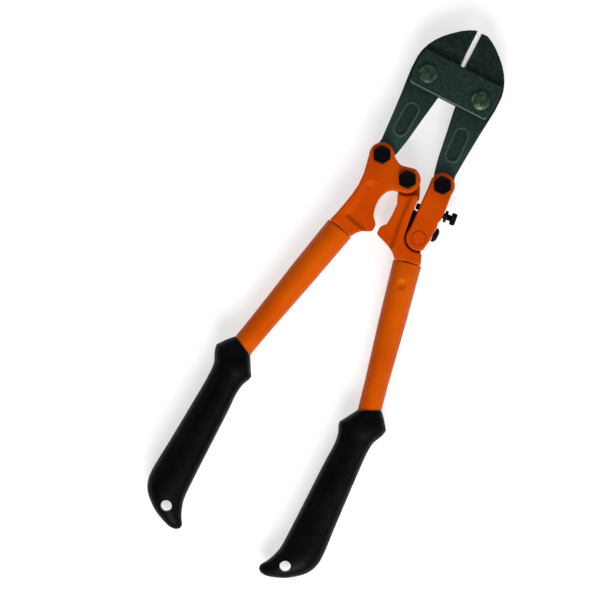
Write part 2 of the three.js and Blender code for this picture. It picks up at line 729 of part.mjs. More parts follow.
function grip(side) {
  const sleeve = loft(gripRings(), 20, 2.3);
  const bore = loft(tubeRings(-RUN, PAST), 24, 2);
  const holeX = TUBE_END.x - HANG_HOLE.inward;
  const holeY = TUBE_END.y - HANG_HOLE.below;
  return onSide(drilled(sleeve.subtract(bore), holeX, holeY, HANG_HOLE.r), side);
}

for (const [name, side] of [['left', -1], ['right', 1]]) {
  add(`${name}_tube`, tube(side), orange());
  add(`${name}_grip`, grip(side), gripRubber());
}

// ---------- origin at the middle of the underside ----------
const box = new THREE.Box3().setFromObject(cutters);
cutters.position.set(-(box.min.x + box.max.x) / 2, -(box.min.y + box.max.y) / 2, -box.min.z);

export default cutters;
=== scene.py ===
"""Bolt cutters: fine meshes and painted, oxidised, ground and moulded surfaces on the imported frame."""
import json
import math

import bmesh
import bpy
from mathutils import Matrix, Vector

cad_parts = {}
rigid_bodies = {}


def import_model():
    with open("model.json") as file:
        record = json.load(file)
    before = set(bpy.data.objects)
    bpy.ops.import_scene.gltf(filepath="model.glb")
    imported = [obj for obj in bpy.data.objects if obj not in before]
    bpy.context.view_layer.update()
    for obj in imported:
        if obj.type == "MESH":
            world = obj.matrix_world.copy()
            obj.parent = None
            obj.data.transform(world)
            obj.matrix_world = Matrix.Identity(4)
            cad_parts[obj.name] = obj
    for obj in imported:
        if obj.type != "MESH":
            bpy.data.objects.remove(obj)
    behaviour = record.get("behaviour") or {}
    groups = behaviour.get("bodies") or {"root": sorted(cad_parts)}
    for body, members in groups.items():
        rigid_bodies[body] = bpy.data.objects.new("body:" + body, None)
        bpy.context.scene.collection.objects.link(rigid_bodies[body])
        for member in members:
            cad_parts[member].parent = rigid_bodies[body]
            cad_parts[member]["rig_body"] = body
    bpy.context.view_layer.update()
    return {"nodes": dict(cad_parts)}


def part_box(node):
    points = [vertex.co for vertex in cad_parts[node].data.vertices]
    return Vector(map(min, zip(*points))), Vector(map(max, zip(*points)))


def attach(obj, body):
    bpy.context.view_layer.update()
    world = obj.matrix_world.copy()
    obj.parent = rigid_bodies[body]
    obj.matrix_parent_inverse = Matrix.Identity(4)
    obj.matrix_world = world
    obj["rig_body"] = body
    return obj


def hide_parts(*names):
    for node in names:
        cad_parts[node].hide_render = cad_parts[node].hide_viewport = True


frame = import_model()

# Blender's lengths are in metres. A size below is in millimetres where it says nothing else.
MM = 0.001
# The sign of x on each side. A place that both sides share is given as on the right.
SIDES = {"left": -1, "right": 1}


def middle(node):
    """The middle of a node's box, in metres."""
    low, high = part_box(node)
    return (low + high) / 2


# The centre bolt's axis, at half the height of the jaws. Every place below is in millimetres from it.
PIVOT = Vector((*middle("centre_bolt").xy, middle("left_jaw").z))


def place(x, y, z=0.0):
    """A place in millimetres from the pivot, as a point of the frame in metres."""
    return PIVOT + Vector((x, y, z)) * MM


def height(z):
    """A Z of the frame, in metres, as millimetres above the middle of the jaws."""
    return (z - PIVOT.z) / MM


# ---------- camera ----------
VIEW_TURN = math.radians(27.0)
VIEW_CENTRE = (-31.6, -120.2)
VIEW_WIDTH = 463.8
LENS = 300.0
NEAREST, FARTHEST = 0.1, 50.0                      # metres


def make_camera():
    """A long lens straight above the tool, which lies aslant in its view."""
    data = bpy.data.cameras.new("camera")
    data.lens = LENS
    distance = VIEW_WIDTH * data.lens / data.sensor_width
    data.clip_start = NEAREST
    data.clip_end = FARTHEST
    camera = bpy.data.objects.new("camera", data)
    camera.location = place(*VIEW_CENTRE, distance)
    camera.rotation_euler = (0.0, 0.0, VIEW_TURN)
    bpy.context.scene.collection.objects.link(camera)
    bpy.context.scene.camera = camera


# ---------- light ----------
# Each softbox's azimuth and elevation in degrees, and its power in watts. Azimuth 0 is +X and 90 is +Y.
SOFTBOXES = {
    "key": (-63, 40, 36),
    "right": (10, 35, 7),
    "left": (170, 35, 4),
    "head_end": (95, 35, 5),
}
SOFTBOX_DISTANCE = 1.7                             # metres
SOFTBOX_SIZE = 1.0                                 # metres
SKY_STRENGTH = 0.2


def softbox(name, azimuth, elevation, power):
    """A square light that faces the frame's origin."""
    data = bpy.data.lights.new(name, "AREA")
    data.shape = "SQUARE"
    data.size = SOFTBOX_SIZE
    data.energy = power
    light = bpy.data.objects.new(name, data)
    a, e = math.radians(azimuth), math.radians(elevation)
    away = Vector((math.cos(a) * math.cos(e), math.sin(a) * math.cos(e), math.sin(e)))
    light.location = away * SOFTBOX_DISTANCE
    light.rotation_mode = "QUATERNION"
    light.rotation_quaternion = away.to_track_quat("Z", "Y")
    bpy.context.scene.collection.objects.link(light)


def make_light():
    world = bpy.data.worlds.new("studio")
    world.use_nodes = True
    background = world.node_tree.nodes["Background"]
    background.inputs["Color"].default_value = (1.0, 1.0, 1.0, 1.0)
    background.inputs["Strength"].default_value = SKY_STRENGTH
    bpy.context.scene.world = world
    bpy.context.scene.view_settings.view_transform = "Standard"
    for name, setting in SOFTBOXES.items():
        softbox(name, *setting)


# ---------- materials ----------
# The colour sockets of a mix node, which share their names with its number and vector sockets.
MIX_COLOURS = (6, 7)
MIX_RESULT = 2
BEVEL_SAMPLES = 6
EDGE_COSINES = (0.995, 0.85)                       # where an edge starts to show, and where it shows fully


class Finish:
    """A Principled material whose textures lie in the object's own space."""

    def __init__(self, name):
        self.material = bpy.data.materials.new(name)
        self.material.use_nodes = True
        self.nodes = self.material.node_tree.nodes
        self.links = self.material.node_tree.links
        self.shader = self.nodes["Principled BSDF"]
        self.where = self.nodes.new("ShaderNodeTexCoord").outputs["Object"]
        self.bump_chain = None

    def set(self, **values):
        """Uniform values, on the shader's own sockets."""
        for key, value in values.items():
            self.shader.inputs[key.replace("_", " ")].default_value = value
        return self

    def noise(self, size_mm, detail=3.0, roughness=0.55, stretch=(1.0, 1.0, 1.0)):
        """A noise from 0 to 1 whose blobs are about that many millimetres wide."""
        mapping = self.nodes.new("ShaderNodeMapping")
        mapping.inputs["Scale"].default_value = stretch
        self.links.new(self.where, mapping.inputs["Vector"])
        node = self.nodes.new("ShaderNodeTexNoise")
        node.inputs["Scale"].default_value = 1.0 / (size_mm * MM)
        node.inputs["Detail"].default_value = detail
        node.inputs["Roughness"].default_value = roughness
        self.links.new(mapping.outputs["Vector"], node.inputs["Vector"])
        return node.outputs["Fac"]

    def span(self, value, low, high, to_low=0.0, to_high=1.0):
        """A value mapped from one range to another, and clamped."""
        node = self.nodes.new("ShaderNodeMapRange")
        node.interpolation_type = "SMOOTHSTEP"
        limits = {"From Min": low, "From Max": high, "To Min": to_low, "To Max": to_high}
        for key, number in limits.items():
            node.inputs[key].default_value = number
        self.links.new(value, node.inputs["Value"])
        return node.outputs["Result"]

    def product(self, first, second):
        """Two numbers or values multiplied."""
        node = self.nodes.new("ShaderNodeMath")
        node.operation = "MULTIPLY"
        for socket, value in zip(node.inputs, (first, second)):
            if isinstance(value, float):
                socket.default_value = value
            else:
                self.links.new(value, socket)
        return node.outputs["Value"]

    def blend(self, factor, first, second):
        """A colour between two colours or sockets."""
        node = self.nodes.new("ShaderNodeMix")
        node.data_type = "RGBA"
        self.links.new(factor, node.inputs["Factor"])
        for index, value in zip(MIX_COLOURS, (first, second)):
            if isinstance(value, tuple):
                node.inputs[index].default_value = (*value, 1.0)
            else:
                self.links.new(value, node.inputs[index])
        return node.outputs[MIX_RESULT]

    def along(self, axis):
        """The place along one axis, in metres."""
        node = self.nodes.new("ShaderNodeSeparateXYZ")
        self.links.new(self.where, node.inputs["Vector"])
        return node.outputs[axis]

    def edges(self, radius_mm):
        """1 near an outer or inner edge, and 0 on open faces."""
        bevel = self.nodes.new("ShaderNodeBevel")
        bevel.samples = BEVEL_SAMPLES
        bevel.inputs["Radius"].default_value = radius_mm * MM
        face = self.nodes.new("ShaderNodeNewGeometry")
        dot = self.nodes.new("ShaderNodeVectorMath")
        dot.operation = "DOT_PRODUCT"
        self.links.new(bevel.outputs["Normal"], dot.inputs[0])
        self.links.new(face.outputs["Normal"], dot.inputs[1])
        return self.span(dot.outputs["Value"], *EDGE_COSINES)

    def colour(self, socket):
        self.links.new(socket, self.shader.inputs["Base Color"])

    def roughness(self, socket):
        self.links.new(socket, self.shader.inputs["Roughness"])

    def metal(self, socket):
        self.links.new(socket, self.shader.inputs["Metallic"])

    def bump(self, value, depth_mm, strength):
        """Relief that many millimetres deep, on top of the relief added before it."""
        node = self.nodes.new("ShaderNodeBump")
        node.inputs["Distance"].default_value = depth_mm * MM
        node.inputs["Strength"].default_value = strength
        self.links.new(value, node.inputs["Height"])
        if self.bump_chain is not None:
            self.links.new(self.bump_chain, node.inputs["Normal"])
        self.bump_chain = node.outputs["Normal"]
        self.links.new(self.bump_chain, self.shader.inputs["Normal"])


def orange_enamel(name, full, thin):
    """Orange paint, cloudy and speckled, darker at its edges in patches: partly scuffed paint, partly
    painted shade along the edges.
    """
    f = Finish(name)
    f.set(Specular_IOR_Level=0.2, Specular_Tint=(0.9, 0.6, 0.06, 1.0))
    tone = f.span(f.noise(34, 4), 0.35, 0.7)
    base = f.blend(tone, full, thin)
    speck = f.span(f.noise(1.7, 2), 0.66, 0.76, 0.0, 0.35)
    base = f.blend(speck, base, (0.33, 0.028, 0.0005))
    # Edges darkened to the orange's shaded tone in patches: partly scuffs, partly painted shade.
    scuffed_and_shaded = f.product(f.edges(0.4), f.span(f.noise(5, 5), 0.47, 0.62, 0.0, 0.8))
    f.colour(f.blend(scuffed_and_shaded, base, (0.2, 0.022, 0.003)))
    f.roughness(f.span(f.noise(9, 4), 0.3, 0.7, 0.4, 0.54))
    f.bump(f.noise(1.5, 2), 0.05, 0.5)
    f.bump(f.noise(12, 2), 0.25, 0.35)
    return f.material


def oxide_steel(name, dark, light, start, end, mottle_mm, mottle=0.3):
    """Dark grey-green coated steel that turns from light to dark between two places along Y, in metres:
    painted shade, darker towards the tips where the light falls off.
    """
    f = Finish(name)
    f.set(Specular_IOR_Level=0.16, Specular_Tint=(0.75, 1.0, 0.9, 1.0))
    # Painted shade: darker towards the jaw tips, where the light from the handle end falls off.
    tone = f.span(f.along("Y"), start, end)
    base = f.blend(tone, light, dark)
    patch = f.span(f.noise(mottle_mm, 5, 0.65), 0.42, 0.68, 0.0, mottle)
    base = f.blend(patch, base, (0.022, 0.042, 0.034))
    pit = f.span(f.noise(0.9, 3), 0.6, 0.72, 0.0, 0.4)
    base = f.blend(pit, base, (0.002, 0.005, 0.004))
    worn = f.product(f.edges(0.25), f.span(f.noise(3.5, 5), 0.42, 0.6, 0.1, 0.6))
    f.colour(f.blend(worn, base, (0.07, 0.105, 0.085)))
    f.metal(f.product(worn, 0.4))
    f.roughness(f.span(f.noise(2.6, 4), 0.3, 0.7, 0.42, 0.6))
    f.bump(f.noise(0.8, 3), 0.05, 0.6)
    f.bump(f.noise(6, 3), 0.12, 0.5)
    return f.material


def ground_steel(name, base, metallic, roughness):
    """Bare ground metal with fine grinding lines."""
    f = Finish(name)
    f.set(Metallic=metallic)
    lines = f.noise(0.35, 2, 0.5, (0.15, 1.0, 0.15))
    f.colour(f.blend(f.span(lines, 0.3, 0.7), base, tuple(0.78 * c for c in base)))
    f.roughness(f.span(lines, 0.3, 0.7, roughness - 0.08, roughness + 0.08))
    f.bump(lines, 0.02, 0.5)
    return f.material


def black_oxide():
    """Blackened steel with a little bare metal at its edges."""
    f = Finish("black_oxide")
    f.set(Specular_IOR_Level=0.06)
    base = f.blend(f.span(f.noise(2.5, 4), 0.35, 0.7), (0.0006, 0.0006, 0.0008), (0.0018, 0.002, 0.0025))
    worn = f.product(f.edges(0.15), f.span(f.noise(1.6, 4), 0.45, 0.62, 0.0, 0.35))
    f.colour(f.blend(worn, base, (0.03, 0.034, 0.035)))
    f.metal(f.product(worn, 0.5))
    f.roughness(f.span(f.noise(1.2, 3), 0.3, 0.7, 0.4, 0.56))
    f.bump(f.noise(0.7, 3), 0.03, 0.5)
    return f.material


def dome_steel(name, wear_and_highlight):
    """The lacquered bolt domes, with brighter, greener patches that are painted highlight; the second
    argument sets how much.
    """
    f = Finish(name)
    f.set(Specular_IOR_Level=0.3, Specular_Tint=(0.7, 1.0, 0.75, 1.0))
    base = f.blend(f.span(f.noise(5, 4), 0.4, 0.65), (0.009, 0.019, 0.0145), (0.02, 0.038, 0.026))
    # Lighter green patches: painted highlight.
    highlight_patch = f.span(f.noise(7, 4, 0.6, (1.0, 0.6, 1.0)), 0.52, 0.66, 0.0, wear_and_highlight)
    f.colour(f.blend(highlight_patch, base, (0.11, 0.2, 0.085)))
    f.roughness(f.span(f.noise(3, 4), 0.3, 0.7, 0.25, 0.45))
    f.bump(f.noise(2.2, 4), 0.1, 0.5)
    return f.material


def grip_plastic():
    """Black moulded plastic, slightly grey where it is rubbed."""
    f = Finish("grip_plastic")
    f.set(Specular_IOR_Level=0.05, Specular_Tint=(0.82, 0.93, 1.0, 1.0))
    cloud = f.span(f.noise(22, 4), 0.35, 0.7)
    base = f.blend(cloud, (0.0006, 0.0008, 0.001), (0.0016, 0.0019, 0.0024))
    wear_and_highlight = f.product(f.edges(0.8), f.span(f.noise(6, 5), 0.45, 0.65, 0.0, 0.4))
    f.colour(f.blend(wear_and_highlight, base, (0.008, 0.009, 0.011)))
    f.roughness(f.span(f.noise(7, 4), 0.3, 0.7, 0.36, 0.5))
    f.bump(f.noise(0.55, 2), 0.03, 0.6)
    f.bump(f.noise(3.0, 2), 0.04, 0.4)
    return f.material


def floor_paper():
    """White paper that gives off a little light, which keeps the shadows faint."""
    f = Finish("floor_paper")
    f.set(Specular_IOR_Level=0.1, Emission_Color=(1.0, 1.0, 1.0, 1.0), Emission_Strength=0.62)
    f.colour(f.blend(f.span(f.noise(300, 3), 0.3, 0.7), (0.44, 0.44, 0.44), (0.42, 0.42, 0.42)))
    f.roughness(f.span(f.noise(40, 3), 0.3, 0.7, 0.8, 0.9))
    f.bump(f.noise(1.5, 2), 0.02, 0.3)
    return f.material


# ---------- mesh helpers ----------
SHARP = math.radians(32)
WELD = 0.004
FLAT_WITHIN = math.radians(0.6)
SAME_POINT = 0.0001


def finished(bm, name, materials, sharp=SHARP):
    """An object of a bmesh, smooth but for its sharp edges."""
    bmesh.ops.recalc_face_normals(bm, faces=bm.faces)
    for face in bm.faces:
        face.smooth = True
    for edge in bm.edges:
        edge.smooth = len(edge.link_faces) != 2 or edge.calc_face_angle() < sharp
    mesh = bpy.data.meshes.new(name)
    bm.to_mesh(mesh)
    bm.free()
    for material in materials:
        mesh.materials.append(material)
    piece = bpy.data.objects.new(name, mesh)
    bpy.context.scene.collection.objects.link(piece)
    return piece


def stands_for(piece, node):
    """The piece in place of a CAD node: on the node's body, with the node hidden."""
    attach(piece, frame["nodes"][node]["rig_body"])
    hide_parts(node)
    return piece


def copied(node):
    """The CAD node's surface in a bmesh, its triangles welded and joined into flat faces."""
    bm = bmesh.new()
    bm.from_mesh(frame["nodes"][node].data)
    bmesh.ops.remove_doubles(bm, verts=bm.verts, dist=WELD * MM)
    bmesh.ops.dissolve_limit(bm, angle_limit=FLAT_WITHIN, verts=bm.verts, edges=bm.edges)
    return bm


# Rounded edges: their width, their steps, and the angle in degrees that an edge has to be sharper than.
FORGED_STEPS = 4
JAW_EDGE = (0.25, 2)
STRAP_EDGE = (0.18, 2)
BOLT_EDGE = (0.16, 2, 25)
NUT_EDGE = (0.14, 2, 25)
LOCK_NUT_EDGE = (0.12, 2, 25)
HANG_HOLE_EDGE = (0.8, 4, 45)


def rounded(piece, width_mm, segments, angle=32):
    """The piece with a modifier that rounds its edges sharper than the angle."""
    bevel = piece.modifiers.new("rounded_edges", "BEVEL")
    bevel.width = width_mm * MM
    bevel.segments = segments
    bevel.limit_method = "ANGLE"
    bevel.angle_limit = math.radians(angle)
    bevel.harden_normals = True
    return piece


def applied(piece):
    """The piece with its modifiers made part of its mesh."""
    graph = bpy.context.evaluated_depsgraph_get()
    mesh = bpy.data.meshes.new_from_object(piece.evaluated_get(graph))
    piece.modifiers.clear()
    piece.data = mesh
    return piece


def skin(bm, loops, capped=True):
    """Quads between loops of points, with a fan over each end of a capped body."""
    rows = [[bm.verts.new(p) for p in loop] for loop in loops]
    count = len(rows[0])
    for first, second in zip(rows, rows[1:]):
        for i in range(count):
            j = (i + 1) % count
            bm.faces.new((first[i], first[j], second[j], second[i]))
    for row in (rows[0], rows[-1]) if capped else ():
        centre = bm.verts.new(sum((v.co for v in row), Vector()) / count)
        for i in range(count):
            bm.faces.new((centre, row[i], row[(i + 1) % count]))


def closed_skin(bm, loops):
    """Quads between loops of points, and from the last loop back to the first."""
    skin(bm, [*loops, loops[0]], False)
    bmesh.ops.remove_doubles(bm, verts=bm.verts, dist=SAME_POINT * MM)


# The radius at which a hexagon's corners are turned off, per width across its flats.
CORNER_SHARE = 0.567


def hexagon(across_flats, corner_angle):
    """The radius of a hexagon, its corners just turned off, as a function of the angle."""
    sixth = math.pi / 3

    def radius(angle):
        off = (angle - corner_angle) % sixth - sixth / 2
        return min(across_flats / 2 / math.cos(off), across_flats * CORNER_SHARE)

    return radius


TURNED_SIDES = 96


def turned_loops(profile, matrix, sides):
    """Loops of points round an axis, one for each point of a profile. A profile point is a radius
    and a height, and each is a number or a function of the angle."""

    def at(value, angle):
        return value(angle) if callable(value) else value

    loops = []
    for radius, z in profile:
        loop = []
        for i in range(sides):
            angle = 2 * math.pi * i / sides
            r = at(radius, angle)
            point = Vector((r * math.cos(angle), r * math.sin(angle), at(z, angle)))
            loop.append(matrix @ (point * MM))
        loops.append(loop)
    return loops


def turned(bm, profile, matrix, sides=TURNED_SIDES):
    """A closed body round an axis, with a fan over each end of its profile."""
    skin(bm, turned_loops(profile, matrix, sides))


def turned_ring(bm, profile, matrix):
    """A ring round an axis, from a profile that closes on itself."""
    closed_skin(bm, turned_loops(profile, matrix, TURNED_SIDES))


# ---------- forged and plate pieces, from the CAD surfaces ----------
def forged(node, material, edge_mm):
    """A small forging: the CAD surface with its edges rounded."""
    piece = finished(copied(node), f"{node}_forging", [material])
    return stands_for(rounded(piece, edge_mm, FORGED_STEPS), node)


FORGING_CELL = 0.42
FORGING_ROUNDS = 14
SMOOTHING = 0.5                                    # how strongly each round smooths

# The wall along the recess in the faces of each head, in plan.
RECESS_WALLS = {
    "left": [
        (8, -51), (15, -49), (28, -46), (29.6, -44.5),
        (26.7, -30), (26, -17.5), (21.4, -14.5), (12, -18),
    ],
    "right": [(8.5, -8), (9.3, -24), (10.3, -34), (12.3, -48), (12.3, -56)],
}
WALL_REACH = 4.0                                   # how far from the wall's line its slope runs out
WALL_DEPTH = 4                                     # from a head's faces to below the foot of the wall
WALL_ROUNDS = 24

# The web of the right head, painted black as painted shade of the gap beside the link: from this x
# outwards, between two y, and up to just above the jaws.
WEB_X = 11
WEB_LOW, WEB_HIGH = -49, -16
WEB_ABOVE_JAW = 0.3


def near_wall(point, wall):
    """1 on a wall's line, falling to 0 at the slope's reach."""
    gap = WALL_REACH
    for start, end in zip(wall, wall[1:]):
        a, b = Vector(start), Vector(end)
        share = min(max((point - a).dot(b - a) / (b - a).length_squared, 0), 1)
        gap = min(gap, (point - a.lerp(b, share)).length)
    return 1 - gap / WALL_REACH


def smoothing(piece, name, rounds):
    """A modifier that runs out corners and hollows."""
    smooth = piece.modifiers.new(name, "SMOOTH")
    smooth.factor = SMOOTHING
    smooth.iterations = rounds
    return smooth


def soft_forging(node, enamel, web_shade):
    """A drop forging: the CAD surface in fine cells, with its corners and hollows run out smooth.
    The web that the link straddles is painted black: painted shade of the deep gap beside the link."""
    side = node.split("_")[0]
    piece = finished(copied(node), f"{node}_forging", [])
    cells = piece.modifiers.new("cells", "REMESH")
    cells.mode = "VOXEL"
    cells.voxel_size = FORGING_CELL * MM
    smoothing(piece, "smooth", FORGING_ROUNDS)
    applied(piece)
    wall_foot = height(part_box(node)[1].z) - WALL_DEPTH
    slope = piece.vertex_groups.new(name="slope")
    for vertex in piece.data.vertices:
        x, y, z = (vertex.co - PIVOT) / MM
        if abs(z) > wall_foot:
            share = near_wall(Vector((SIDES[side] * x, y)), RECESS_WALLS[side])
            slope.add([vertex.index], share, "REPLACE")
    run_out = smoothing(piece, "run_out", WALL_ROUNDS)
    run_out.vertex_group = slope.name
    run_out.use_x = False
    run_out.use_y = False
    applied(piece)
    for material in (enamel, web_shade):
        piece.data.materials.append(material)
    web_top = height(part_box("right_jaw")[1].z) + WEB_ABOVE_JAW
    # Faces of the web take the black finish: painted shade in the gap beside the link.
    for face in piece.data.polygons:
        face.use_smooth = True
        x, y, z = (face.center - PIVOT) / MM
        if x > WEB_X and WEB_LOW < y < WEB_HIGH and abs(z) < web_top:
            face.material_index = 1
    return stands_for(piece, node)


# The ground strip along each cutting edge, which starts above the straps: bright metal, painted near-white
# as a painted reflection of the lights.
GROUND_W = 0.9
GROUND_NEAR = 4 * GROUND_W                         # only the faces this near to the edge are cut for it
EDGE_START = 2

# The long panel on each face of an arm, and the round-topped bead along its rim.
RIM_CENTRE = Vector((22.0, 41.5))
RIM_LEAN = Matrix.Rotation(math.radians(3), 2)
RIM_HALF_WIDTH = 5.5
RIM_REACH = 8.5                                    # from the centre to the middle of each round end
RIM_HEIGHT = 0.4                                   # of the CAD's rim above the arm
RIM_STEPS = 96
BEAD_HALF_WIDTH, BEAD_HEIGHT, BEAD_SINK = 1.15, 0.95, 0.2
BEAD_STEPS = 12
PANEL_MARGIN = 0.2
PANEL_SUNK = 0.1                                   # a face at least this far below the arm is the panel's


def in_panel(point, side):
    """Whether a point lies inside the long panel of an arm, in plan."""
    at = Vector((side * (point.x - PIVOT.x), point.y - PIVOT.y)) / MM - RIM_CENTRE
    at = RIM_LEAN.inverted() @ at
    return math.hypot(at.x, max(abs(at.y) - RIM_REACH, 0)) < RIM_HALF_WIDTH - PANEL_MARGIN


def jaw(node, coating, ground, panel_shade, wear_and_highlight):
    """A jaw with its cutting edge ground and painted near-white as a painted reflection, painted shade in
    its panels, and a bead round each that is painted lighter as a painted highlight.
    """
    side = SIDES[node.split("_")[0]]
    bm = copied(node)
    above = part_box("front_strap")[1].y
    edge = min(v.co.x * side for v in bm.verts if v.co.y > above + EDGE_START * MM)
    strip_x = edge + GROUND_W * MM
    near_x = edge + GROUND_NEAR * MM

    def near_edge(face):
        centre = face.calc_center_median()
        return centre.x * side < near_x and centre.y > above

    near = [face for face in bm.faces if near_edge(face)]
    parts = dict.fromkeys(part for face in near for part in (face, *face.edges, *face.verts))
    bmesh.ops.bisect_plane(bm, geom=list(parts), plane_co=(side * strip_x, 0, 0), plane_no=(1, 0, 0))
    # Faces of the strip take the near-white steel: a painted reflection of the lights.
    for face in bm.faces:
        centre = face.calc_center_median()
        if centre.y > above and centre.x * side < strip_x:
            face.material_index = 1
    surface = max(v.co.z for v in bm.verts) - PIVOT.z - RIM_HEIGHT * MM
    # The panel's sunk faces take a darker coat: painted shade in the recess.
    for face in bm.faces:
        centre = face.calc_center_median()
        sunk = abs(centre.z - PIVOT.z) < surface - PANEL_SUNK * MM
        if in_panel(centre, side) and sunk:
            face.material_index = 2
    piece = finished(bm, f"{node}_blade", [coating, ground, panel_shade])
    stands_for(rounded(piece, *JAW_EDGE), node)
    # The beads take the lighter coat, a painted highlight.
    jaw_rims(node, side, wear_and_highlight)


def jaw_rims(node, side, coating):
    """The bead along the rim of the panel on each face of an arm."""
    low, high = (height(c.z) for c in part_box(node))
    for face, up, top in (("front", 1, high - RIM_HEIGHT), ("back", -1, low + RIM_HEIGHT)):
        loops = []
        for i in range(RIM_STEPS):
            turn = 2 * math.pi * i / RIM_STEPS
            middle_y = RIM_REACH * (1 if math.sin(turn) >= 0 else -1)
            out = Vector((math.cos(turn), math.sin(turn)))
            loop = []
            for k in range(BEAD_STEPS + 1):
                bend = math.pi * k / BEAD_STEPS
                across = RIM_HALF_WIDTH + BEAD_HALF_WIDTH * math.cos(bend)
                x, y = out.x * across, middle_y + out.y * across
                at = RIM_CENTRE + RIM_LEAN @ Vector((x, y))
                rise = BEAD_HEIGHT * math.sin(bend) - BEAD_SINK
                loop.append(place(side * at.x, at.y, top + up * rise))
            loops.append(loop)
        bm = bmesh.new()
        closed_skin(bm, loops)
        bead = finished(bm, f"{node}_{face}_rim", [coating])
        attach(bead, frame["nodes"][node]["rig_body"])


CHAMFER_TILT = (0.2, 0.9)                          # the z of a chamfer's normal lies between these
HIGHLIGHT_END = 3                                     # how far up from its lower end a strap's chamfer carries its painted highlight


def strap(node, coating, bright):
    """A strap plate whose outer chamfer is painted bright at its lower end, a painted highlight of the
    light from below.
    """
    bm = copied(node)
    low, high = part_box(node)
    centre_z = (low.z + high.z) / 2
    # The lower end of the outer chamfer takes the bright steel: a painted highlight.
    for face in bm.faces:
        tilted = CHAMFER_TILT[0] < abs(face.normal.z) < CHAMFER_TILT[1]
        outward = (face.calc_center_median().z - centre_z) * (centre_z - PIVOT.z) > 0
        if tilted and outward and face.calc_center_median().y < low.y + HIGHLIGHT_END * MM:
            face.material_index = 1
    piece = finished(bm, f"{node}_plate", [coating, bright])
    return stands_for(rounded(piece, *STRAP_EDGE), node)


# ---------- bolts and nuts ----------
END_R = 0.6                                        # where the flat ends of a bolt are closed by a fan
SHANK_CHAMFER = 0.7
HEX_CHAMFER_SLOPE = math.tan(math.radians(28))
BOLT_SHARP = math.radians(20)
DOME_SHARP = math.radians(40)

# A hexagon bolt: its head is at least this high, and has a shallow dish in its flat top.
HEX_HEAD_MIN = 2.5
HEX_TOP_SHARE = 0.455                              # radius of the flat top, per width across flats
DISH_RIM, DISH_FLOOR, DISH_DEPTH = 0.86, 0.8, 0.35  # its radii are shares of the flat top's
SHANK_BELOW_HEX = 2                                # where the shank is measured

# A domed bolt: its seat is at least this high, its head has a short upright edge, rounded below.
DOME_SEAT_MIN = 5
DOME_HEAD_DEPTH = 4                                # how far down the head is measured
DOME_EDGE, DOME_ROUND = 1, 0.3
DOME_TIP_R = 0.5
DOME_STEPS = 12
SHANK_BELOW_DOME = 1

NUT_TOP_SHARE = 0.46                               # radius of a nut's flat faces, per width across flats
BORE_CHAMFER = 0.5


def corner_angle(node):
    """The direction from a hexagon's middle to one of its corners."""
    centre = middle(node)
    far = max(frame["nodes"][node].data.vertices, key=lambda v: (v.co.xy - centre.xy).length)
    return math.atan2(far.co.y - centre.y, far.co.x - centre.x)


def heights(node):
    """The heights of a node's points, in millimetres."""
    return [height(v.co.z) for v in frame["nodes"][node].data.vertices]


def radius_at(node, low, high):
    """The largest radius of an upright turned node between two heights, in millimetres."""
    centre = middle(node)
    inside = [v.co for v in frame["nodes"][node].data.vertices if low <= height(v.co.z) <= high]
    return max((co.xy - centre.xy).length for co in inside) / MM


def flats_of(node):
    """A hexagon's width across flats, in millimetres."""
    centre = middle(node)
    far = max((v.co.xy - centre.xy).length for v in frame["nodes"][node].data.vertices)
    return far / MM * math.sqrt(3)


def upright(node):
    """A frame on a node's axis, with its zero height at the middle of the jaws."""
    centre = middle(node)
    return Matrix.Translation(Vector((centre.x, centre.y, PIVOT.z)))


def hex_bolt(node, material):
    low, high = (height(c.z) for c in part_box(node))
    seat = max(z for z in heights(node) if z < high - HEX_HEAD_MIN)
    shank = radius_at(node, low, seat - SHANK_BELOW_HEX)
    flats = flats_of(node)
    corners = hexagon(flats, corner_angle(node))
    inner = flats * HEX_TOP_SHARE

    def chamfer_z(angle):
        return high - (corners(angle) - inner) * HEX_CHAMFER_SLOPE

    bm = bmesh.new()
    turned(bm, [
        (END_R, low), (shank - SHANK_CHAMFER, low), (shank, low + SHANK_CHAMFER), (shank, seat),
        (corners, seat), (corners, chamfer_z), (inner, high), (inner * DISH_RIM, high),
        (inner * DISH_FLOOR, high - DISH_DEPTH), (END_R, high - DISH_DEPTH),
    ], upright(node))
    piece = finished(bm, f"{node}_steel", [material], BOLT_SHARP)
    return stands_for(rounded(piece, *BOLT_EDGE), node)


def dome_bolt(node, material):
    low, high = (height(c.z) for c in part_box(node))
    head = radius_at(node, high - DOME_HEAD_DEPTH, high)
    seat = min(z for z in heights(node) if z > DOME_SEAT_MIN)
    shank = radius_at(node, low, seat - SHANK_BELOW_DOME)
    rise = high - seat - DOME_EDGE
    turns = [math.pi / 2 * i / DOME_STEPS for i in range(DOME_STEPS)]
    crown = [(head * math.cos(a), seat + DOME_EDGE + rise * math.sin(a)) for a in turns]
    bm = bmesh.new()
    turned(bm, [
        (END_R, low), (shank - SHANK_CHAMFER, low), (shank, low + SHANK_CHAMFER), (shank, seat),
        (head - DOME_ROUND, seat), (head, seat + DOME_ROUND), *crown, (DOME_TIP_R, high),
    ], upright(node))
    piece = finished(bm, f"{node}_steel", [material], DOME_SHARP)
    return stands_for(piece, node)


